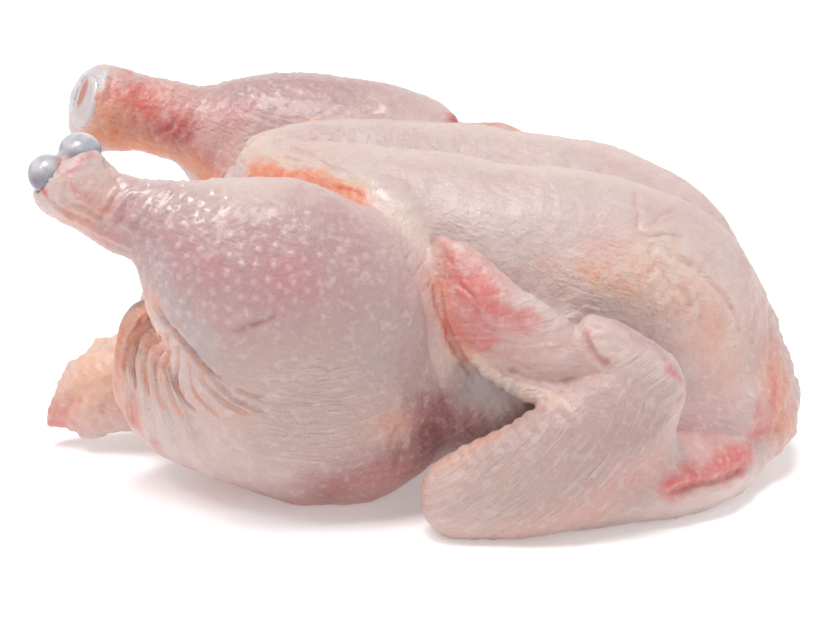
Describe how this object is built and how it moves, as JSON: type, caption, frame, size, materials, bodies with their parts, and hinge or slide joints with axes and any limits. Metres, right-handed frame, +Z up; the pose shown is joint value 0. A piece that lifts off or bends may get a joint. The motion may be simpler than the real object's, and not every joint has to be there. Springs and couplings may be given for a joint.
{
  "type": "whole raw chicken",
  "caption": "Whole raw dressed chicken lying on its back, wings folded, shanks cut at the hock.",
  "frame": {"origin": "on the resting surface, under the middle of the bird's bounding box", "axes": "+X towards the neck end, -Y towards the side with the lower drumstick, +Z up through the breast"},
  "size_m": [0.2526, 0.1866, 0.1215],
  "materials": {
    "skin": "moist, soft and slightly translucent",
    "bone": "wet cartilage with a bluish gloss"
  },
  "bodies": {
    "root": {"carcass": "skin", "shank_bone_near": "bone", "shank_bone_far": "bone"}
  },
  "joints": []
}
